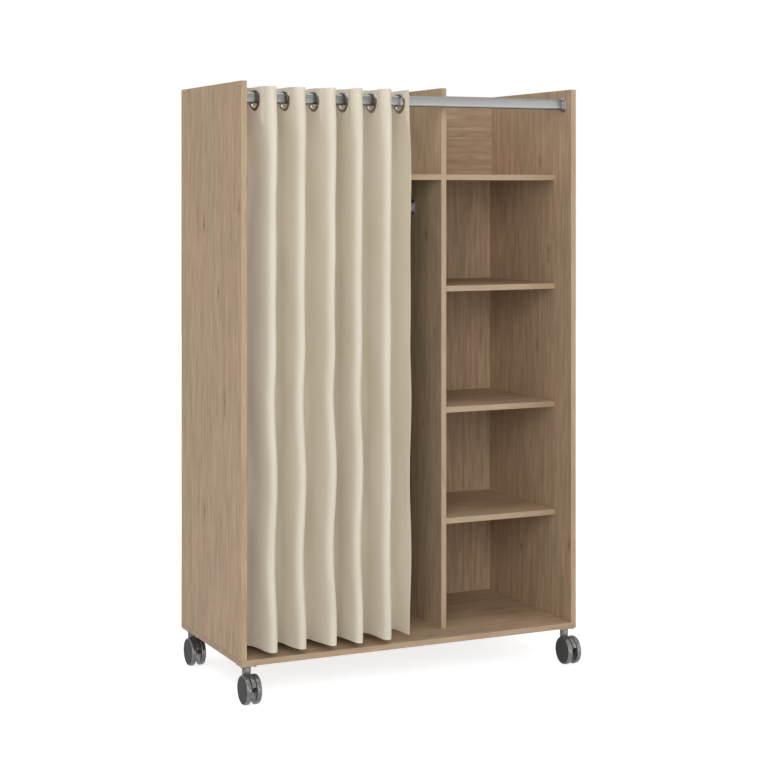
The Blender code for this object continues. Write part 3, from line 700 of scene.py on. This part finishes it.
def half_turn(half_pitch, depth, start):
    """Evenly spaced places from where the cloth passes the rail to a nose, seen from the eyelet.

    The cloth bends from the flank's yaw to square across as a power of the distance. The power
    is found by halving, so that the nose lies at its depth and half a pitch away.
    """
    low, high = 0.5, 40.0
    for _ in range(40):
        power = (low + high) / 2
        headings = [FLANK_YAW + (QUARTER - FLANK_YAW) * ((step + 0.5) / TURN_STEPS) ** power
                    for step in range(TURN_STEPS)]
        spacing = depth / sum(math.cos(heading) for heading in headings)
        if start + spacing * sum(math.sin(heading) for heading in headings) > half_pitch:
            low = power
        else:
            high = power
    places = [(start, 0.0)]
    for heading in headings:
        aside, away = places[-1]
        places.append((aside + spacing * math.sin(heading), away + spacing * math.cos(heading)))
    return places, spacing * TURN_STEPS


FRONT_HEAD, FRONT_REACH = half_turn(FRONT_PITCH / 2, FOLD_FRONT_DEPTH, 0.0)
BACK_HEAD, BACK_REACH = half_turn(BACK_PITCH / 2, FOLD_BACK_DEPTH, 0.0)
FRONT_BODY = half_turn(FRONT_PITCH / 2, FOLD_FRONT_DEPTH, FOLD_NARROWING)[0]
BACK_BODY = half_turn(BACK_PITCH / 2, FOLD_BACK_DEPTH, -FOLD_NARROWING)[0]


def turn_place(in_front, share, z):
    """Sideways and depthways distance from an eyelet's middle, at a share of the way to the nose."""
    step = min(int(share * TURN_STEPS), TURN_STEPS - 1)
    rest = share * TURN_STEPS - step
    below = smooth((NARROWING_TOP - z) / NARROWING_HEIGHT)
    result = [0.0, 0.0]
    for places, weight in ((FRONT_HEAD if in_front else BACK_HEAD, 1 - below),
                           (FRONT_BODY if in_front else BACK_BODY, below)):
        for axis in (0, 1):
            here, ahead = places[step][axis], places[step + 1][axis]
            result[axis] += weight * (here + rest * (ahead - here))
    return result


def smooth(value):
    """A step from 0 to 1 with soft ends."""
    value = min(max(value, 0), 1)
    return value * value * (3 - 2 * value)


def hump(value, middle, width):
    """A bell curve, 1 at its middle."""
    return math.exp(-((value - middle) / width) ** 2)


def turn_sway(turn, z):
    """Sideways shift of a turn at a height; even turns lie behind, odd ones in front."""
    lower = smooth((LOWER_CURTAIN_TOP - z) / LOWER_CURTAIN_START)
    if turn % 2:
        fold = turn // 2
        wave = math.cos(FULL * (z - WAVE_CREST) / WAVE_LENGTH + 0.25 * math.sin(2.4 * turn))
        ripple = math.cos(FULL * (z - RIPPLE_CREST) / RIPPLE_LENGTH + 0.6 * math.sin(1.7 * turn))
        header = smooth((z - HEADER_Z) / HEADER_HEIGHT)
        sway = NOSE_SWAY[fold] * (lower * wave + RIPPLE_SHARE * (1 - lower) * (1 - header) * ripple)
        return NOSE_LEAN[fold] + BULGE * hump(z, BULGE_Z, BULGE_HEIGHT) - HEADER_PULL * header + sway
    if turn == 0:
        return EDGE_SWAY * max(hump(z, middle, EDGE_GAP_HEIGHT) for middle in EDGE_GAPS)
    below = smooth((BACK_SWAY_TOP - z) / BACK_SWAY_START)
    wave = BACK_WAVE * lower * math.cos(FULL * (z - BACK_WAVE_CREST) / BACK_WAVE_LENGTH + turn)
    return below * (wave + BACK_RIPPLE * math.cos(FULL * z / BACK_RIPPLE_LENGTH + 2 * turn))


def cloth_place(turn, distance, z, run):
    """A place on the cloth round one turn, at a distance from the eyelet before it."""
    in_front = turn % 2 == 1
    reach = FRONT_REACH if in_front else BACK_REACH
    if turn == 0:
        from_ring, ring, side, near, far = -distance, 0, -1, 1, 0
    elif distance <= reach:
        from_ring, ring, side, near, far = distance, turn - 1, 1, turn - 1, turn
    else:
        from_ring, ring, side, near, far = 2 * reach - distance, turn, -1, turn + 1, turn
    aside, away = turn_place(in_front, from_ring / reach, z)
    weight = 0.5 + 0.5 * math.sin(QUARTER * min(from_ring / reach, 1))
    sway = (1 - weight) * turn_sway(near, z) + weight * turn_sway(far, z)
    flat = smooth((z - FLAT_Z) / FLAT_HEIGHT) * (1 - smooth((from_ring - EYELET_RADIUS) / FLAT_RIM))
    crease = smooth((CREASE_TOP - z) / CREASE_START) * sum(
        size * noise.noise(Vector((run * across, z * up, layer))) for across, up, layer, size in CREASES)
    return Vector((EYELET_XS[ring] + side * aside + (1 - flat) * sway + crease,
                   RAIL_Y + (-away if in_front else away) + crease, z))


def flat_strip(first, last, holes):
    """A strip of cloth laid out flat, upright along Y, with holes for eyelets at some places."""
    rows = HEADER_ROWS + BODY_ROWS
    shape = bmesh.new()
    columns = round((last - first) / COLUMN_WIDTH)
    bmesh.ops.create_grid(shape, x_segments=columns, y_segments=rows, size=0.5)
    body_share = BODY_ROWS / rows
    for vert in shape.verts:
        across, up = vert.co.x + 0.5, vert.co.y + 0.5
        if up <= body_share:
            level = (CLOTH_HEIGHT - HEADER_DEPTH) * up / body_share
        else:
            level = CLOTH_HEIGHT - HEADER_DEPTH * (1 - up) / (1 - body_share)
        vert.co = (first + (last - first) * across, level, 0)
    centres = [Vector((hole, EYELET_Z - CLOTH_BOTTOM, 0)) for hole in holes]
    inside = [face for face in shape.faces
              if any((face.calc_center_median() - centre).length < CLOTH_HOLE_RADIUS for centre in centres)]
    bmesh.ops.delete(shape, geom=inside, context="FACES")
    for vert in shape.verts:
        for centre in centres:
            gap = vert.co - centre
            if vert.is_boundary and gap.length < CLOTH_HOLE_RADIUS + HOLE_EDGE:
                if abs(gap.x) < 0.0005:
                    gap.x = 0
                vert.co = centre + gap.normalized() * CLOTH_HOLE_RADIUS
    return shape


def add_strip(turn, run, length, fabric):
    """One strip of the curtain, from one eyelet's middle to the next, round one turn."""
    bends = 0 < turn < EYELET_COUNT
    first, last = (-length, 0) if turn == 0 else (0, length)
    shape = flat_strip(first, last, (0, length) if bends else (0,))
    layer = shape.loops.layers.uv.new("cloth")
    for face in shape.faces:
        for loop in face.loops:
            loop[layer].uv = (run + loop.vert.co.x, loop.vert.co.y)
    for vert in shape.verts:
        distance, level = vert.co.x, vert.co.y
        hem_wave = HEM_WAVE * math.sin(FULL * (run + distance) / HEM_WAVE_LENGTH)
        z = CLOTH_BOTTOM + level + hem_wave * (1 - 2 * level / CLOTH_HEIGHT)
        vert.co = cloth_place(turn, distance, z, run + distance)
    name = f"curtain_strip_{turn:02d}"
    piece = placed(name, mesh_of(name, shape))
    solidify = piece.modifiers.new("Cloth", "SOLIDIFY")
    solidify.thickness = CLOTH_THICKNESS
    solidify.offset = 0
    solidify.use_even_offset = True
    mesh = baked(piece)
    body = None if bends else "curtain_11" if turn else "carcass"
    replaced = [f"curtain_cloth_{turn:02d}"] if turn else []
    piece = finish_mesh(name, mesh, (fabric,), body, 50, replaced)
    if bends:
        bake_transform(piece)


def add_curtain(fabric, chrome):
    """Twelve strips of one cloth, split at the middles of its eyelets, and the eyelets themselves."""
    run = SIDE_HEM
    add_strip(0, run, SIDE_HEM, fabric)
    for turn in range(1, EYELET_COUNT):
        length = 2 * (FRONT_REACH if turn % 2 else BACK_REACH)
        add_strip(turn, run, length, fabric)
        run += length
    add_strip(EYELET_COUNT, run, SIDE_HEM, fabric)
    for number, x in enumerate(EYELET_XS, 1):
        facing = 1 if number % 2 else -1
        ring = spun(eyelet_profile(), 72)
        place = (Matrix.Translation((x, RAIL_Y, EYELET_Z)) @ Matrix.Rotation(facing * FLANK_YAW, 4, "Z")
                 @ Matrix.Rotation(QUARTER, 4, "Y"))
        body = "carcass" if number == 1 else f"curtain_{number:02d}"
        finish(f"eyelet_ring_{number:02d}", move(ring, place), chrome, body, 50,
               [f"curtain_eyelet_{number:02d}"])


def eyelet_profile():
    """Cross-section of a snap eyelet: two domed flanges on a barrel, with a groove for the cloth."""
    bore, rim = EYELET_BORE_RADIUS, EYELET_RADIUS
    upper = [(bore, 0.0017), (bore + 0.0003, 0.0024), (bore + 0.0009, 0.0029), (bore + 0.0018, 0.0032),
             (bore + 0.0032, 0.0032), (bore + 0.0048, 0.0030), (bore + 0.0063, 0.0025),
             (bore + 0.0076, 0.0018), (rim - 0.0004, 0.0012), (rim, 0.0009), (rim - 0.0003, 0.00072),
             (bore + 0.0022, 0.00072)]
    lower = [(radius, -height) for radius, height in reversed(upper)]
    return upper + lower


def wheel_profile():
    """Half section of a castor wheel, outer face up: a flat disc with a rounded rim and a hub."""
    rim, face = AXLE_Z, WHEEL_WIDTH
    outer = [(0, face - 0.0003), (0.0120, face - 0.0003), (0.0310, face), (rim - 0.0052, face - 0.0001),
             (rim - 0.0032, face - 0.0006), (rim - 0.0018, face - 0.0015), (rim - 0.0007, face - 0.0029),
             (rim - 0.0002, face - 0.0043), (rim, face - 0.0058), (rim, 0.0026), (rim - 0.0003, 0.0013),
             (rim - 0.0010, 0.0004), (rim - 0.0020, 0)]
    inner = [(0.0300, 0), (0.0296, 0.0012), (0.0125, 0.0012), (0.0115, 0), (0.0087, 0),
             (0.0085, -0.0012), (0.0044, -0.0012), (0.0044, face - 0.003), (0, face - 0.003)]
    return outer + inner


def new_hood():
    """A castor's swivelling hood about its axle: stem and saddle, web between the wheels, hub, axle."""
    top = STEM_TOP_Z - AXLE_Z
    spigot = top + SPIGOT_LENGTH
    profile = [(0, spigot), (SPIGOT_RADIUS, spigot), (SPIGOT_RADIUS, top), (COLLAR_RADIUS - 0.0004, top),
               (COLLAR_RADIUS, top - 0.0003), (COLLAR_RADIUS, top - 0.0028),
               (COLLAR_RADIUS - 0.0005, top - 0.0031), (COLLAR_RADIUS - 0.0005, top - 0.0037),
               (COLLAR_RADIUS, top - 0.0040), (STEM_RADIUS - 0.0003, top - 0.0045),
               (STEM_RADIUS, top - 0.0052), (STEM_RADIUS, AXLE_RADIUS), (0, AXLE_RADIUS)]
    hood = move(spun(profile, 64, closed=False), Matrix.Translation((0, WHEEL_OFFSET, 0)))
    for side in (-1, 1):
        aside = Matrix.Translation((side * (HOOD_WIDTH + WHEEL_ROOM) / 2, 0, 0))
        room = move(bar(AXLE_Z + WHEEL_CLEARANCE, WHEEL_ROOM, 96), aside)
        hood = carved(hood, room, "DIFFERENCE")
    hood = carved(hood, hood_web(), "UNION")
    hood = carved(hood, bar(HUB_RADIUS, HUB_LENGTH, 40), "UNION")
    axle = bar(AXLE_RADIUS, HOOD_WIDTH + 2 * (WHEEL_CLEARANCE + WHEEL_WIDTH - AXLE_RECESS), 36)
    return carved(hood, axle, "UNION")


def bar(radius, length, sides):
    """A round bar along X, about the axle."""
    shape = bmesh.new()
    turn = Matrix.Rotation(HALF / sides, 4, "X") @ Matrix.Rotation(QUARTER, 4, "Y")
    bmesh.ops.create_cone(shape, cap_ends=True, segments=sides, radius1=radius, radius2=radius,
                          depth=length, matrix=turn)
    return shape


def hood_web():
    """The web over the axle, between the wheels: a sector that ends short of the front."""
    shape = bmesh.new()
    rear = shape.verts.new((0, AXLE_Z - SEAT, 0))
    bmesh.ops.spin(shape, geom=[rear], cent=(0, 0, 0), axis=(1, 0, 0), dvec=(0, 0, 0),
                   angle=HALF - HOOD_FRONT_RISE, steps=60, use_merge=False)
    shape.verts.ensure_lookup_table()
    arc = list(shape.verts)
    middle = shape.verts.new((0, 0, 0))
    face = shape.faces.new(arc + [middle])
    pull(shape, [face], (WEB_WIDTH, 0, 0))
    move(shape, Matrix.Translation((-WEB_WIDTH / 2, 0, 0)))
    rim = [edge for edge in sharp_edges(shape) if any(vert.co.length > 0.5 * AXLE_Z for vert in edge.verts)]
    bevel(shape, rim, WEB_ROUND)
    return shape


def add_castors(gunmetal, disc, steel):
    """Refined hoods, wheels and plate screws of the four castors. A wheel's outer face takes a darker copy
    of the moulding, which is painted shade.
    """
    hood = new_hood()
    for corner, (x, y) in STEM_PLACES.items():
        axle = Matrix.Translation((x, y - WHEEL_OFFSET, AXLE_Z))
        finish(f"castor_{corner}_hood_shell", move(hood.copy(), axle), gunmetal, f"swivel_{corner}",
               35, [f"castor_{corner}_hood"])
        for side, sign in (("left", -1), ("right", 1)):
            wheel = spun(wheel_profile(), 96, closed=False)
            for face in wheel.faces:
                # Outer faces take the second look, a darker, duller copy of the moulding: painted shade
                painted_shade_face = face.calc_center_median().z > 0 and face.normal.z > 0.95
                face.material_index = 1 if painted_shade_face else 0
            turn = Matrix.Rotation(sign * QUARTER, 4, "Y")
            inner_face = Matrix.Translation((sign * (HOOD_WIDTH / 2 + WHEEL_CLEARANCE), 0, 0))
            move(wheel, axle @ inner_face @ turn)
            name = f"castor_{corner}_tyre_{side}"
            finish_mesh(name, mesh_of(name, wheel), (gunmetal, disc), f"wheel_{corner}_{side}",
                        35, [f"castor_{corner}_wheel_{side}"])
        screws = bmesh.new()
        for across in (-PLATE_SCREW_OFFSET, PLATE_SCREW_OFFSET):
            for along in (-PLATE_SCREW_OFFSET, PLATE_SCREW_OFFSET):
                upside_down = Matrix.Rotation(HALF, 4, "X")
                place = Matrix.Translation((x + across, y + along, PLATE_BOTTOM_Z))
                add_copy(screws, screw_head(*PLATE_SCREW), place @ upside_down)
        finish(f"castor_{corner}_screws", screws, steel, "carcass")
        dress(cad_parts[f"castor_{corner}_plate"].data, steel)
    hood.free()


def add_nails(steel):
    """Small round heads that hold the thin back to the boards."""
    nails = bmesh.new()
    head = [(0, NAIL_PROUD), (NAIL_RADIUS - 2 * NAIL_PROUD, NAIL_PROUD), (NAIL_RADIUS, -NAIL_PROUD),
            (NAIL_RADIUS, -SEAT), (0, -SEAT)]
    places = [(x, z) for x in NAIL_COLUMNS for z in NAIL_HEIGHTS]
    places += [(x, z) for z in NAIL_ROWS for x in NAIL_WIDTHS]
    for x, z in places:
        place = Matrix.Translation((x, BACK_Y, z)) @ Matrix.Rotation(-QUARTER, 4, "X")
        add_copy(nails, spun(head, 10, closed=False), place)
    finish("back_nails", nails, steel, "carcass", 60)


def direct_rays(tree):
    """1 for what the camera sees, straight or through a reflection, and 0 for light on the object."""
    path = tree.nodes.new("ShaderNodeLightPath")
    seen = path.outputs["Is Camera Ray"]
    for ray in ("Is Glossy Ray", "Is Transmission Ray"):
        either = tree.nodes.new("ShaderNodeMath")
        either.operation = "MAXIMUM"
        tree.links.new(seen, either.inputs[0])
        tree.links.new(path.outputs[ray], either.inputs[1])
        seen = either.outputs[0]
    return seen


def add_floor():
    """A pale floor that is white further away."""
    shape = bmesh.new()
    bmesh.ops.create_grid(shape, x_segments=1, y_segments=1, size=FLOOR_SIZE)
    floor = placed("floor", mesh_of("floor", shape))
    look = Look("pale_floor", Base_Color=FLOOR_GREY, Roughness=0.9, Specular_IOR_Level=0.1,
                Emission_Color=WHITE)
    away = look.vector("LENGTH", look.place, output="Value")
    look.set("Emission Strength", look.sum("MULTIPLY", direct_rays(look.tree),
                                           look.spread(away, *FLOOR_GLOW_RADII, FLOOR_GLOW, 1.0)))
    dress(floor.data, look.material)


def add_surround():
    """A surround that is white to the camera and dimmer as light."""
    world = bpy.data.worlds.new("surround")
    bpy.context.scene.world = world
    world.use_nodes = True
    back = world.node_tree.nodes["Background"]
    back.inputs["Color"].default_value = WHITE
    level = world.node_tree.nodes.new("ShaderNodeMapRange")
    level.inputs["To Min"].default_value = AMBIENT
    level.inputs["To Max"].default_value = 1.0
    world.node_tree.links.new(direct_rays(world.node_tree), level.inputs["Value"])
    world.node_tree.links.new(level.outputs["Result"], back.inputs["Strength"])


def add_lamps():
    """Soft lamps. The low strip lights no surface, and only gleams on smooth ones."""
    for name, (place, target, size, power) in LAMPS.items():
        light = bpy.data.lights.new(name, "AREA")
        light.shape = "RECTANGLE"
        light.size, light.size_y = size
        light.energy = power
        lamp = placed(name, light)
        lamp.location = place
        lamp.rotation_euler = (Vector(target) - Vector(place)).to_track_quat("-Z", "Y").to_euler()
        lamp.visible_diffuse = name != "gleam_strip"


def add_camera():
    """The camera of the photograph."""
    lens = bpy.data.cameras.new("camera")
    lens.lens = LENS
    lens.sensor_width = SENSOR_WIDTH
    lens.shift_y = LENS_SHIFT
    lens.clip_end = 60
    camera = placed("camera", lens)
    camera.location = CAMERA_PLACE
    camera.rotation_euler = (QUARTER, 0, CAMERA_YAW)
    bpy.context.scene.camera = camera
    bpy.context.scene.view_settings.view_transform = "Standard"


add_floor()
add_surround()
add_lamps()
add_camera()
dress_boards()
CHROME = metal_look("dark_chrome", tone(176, 172, 168), 0.12, 0.03)
ALUMINIUM = metal_look("satin_aluminium", tone(136, 137, 136), 0.36, 0.05, BRUSH_SCALE)
CASTING = metal_look("socket_casting", tone(163, 163, 165), 0.27, 0.04)
STEEL = metal_look("zinc_steel", tone(140, 137, 132), 0.35, 0.06)
GUNMETAL = castor_look("castor_gunmetal", tone(103, 103, 103), tone(117, 116, 114), 0.24, Metallic=0.6)
# A darker, duller copy of the castor moulding for the wheels' outer faces: painted shade
SHADED_DISC = castor_look("castor_disc_painted_shade", tone(69, 68, 67), tone(73, 73, 74), 0.4, Specular_IOR_Level=0.05)
add_rails(ALUMINIUM, CASTING, STEEL)
add_curtain(fabric_look(), CHROME)
add_castors(GUNMETAL, SHADED_DISC, STEEL)
add_nails(STEEL)
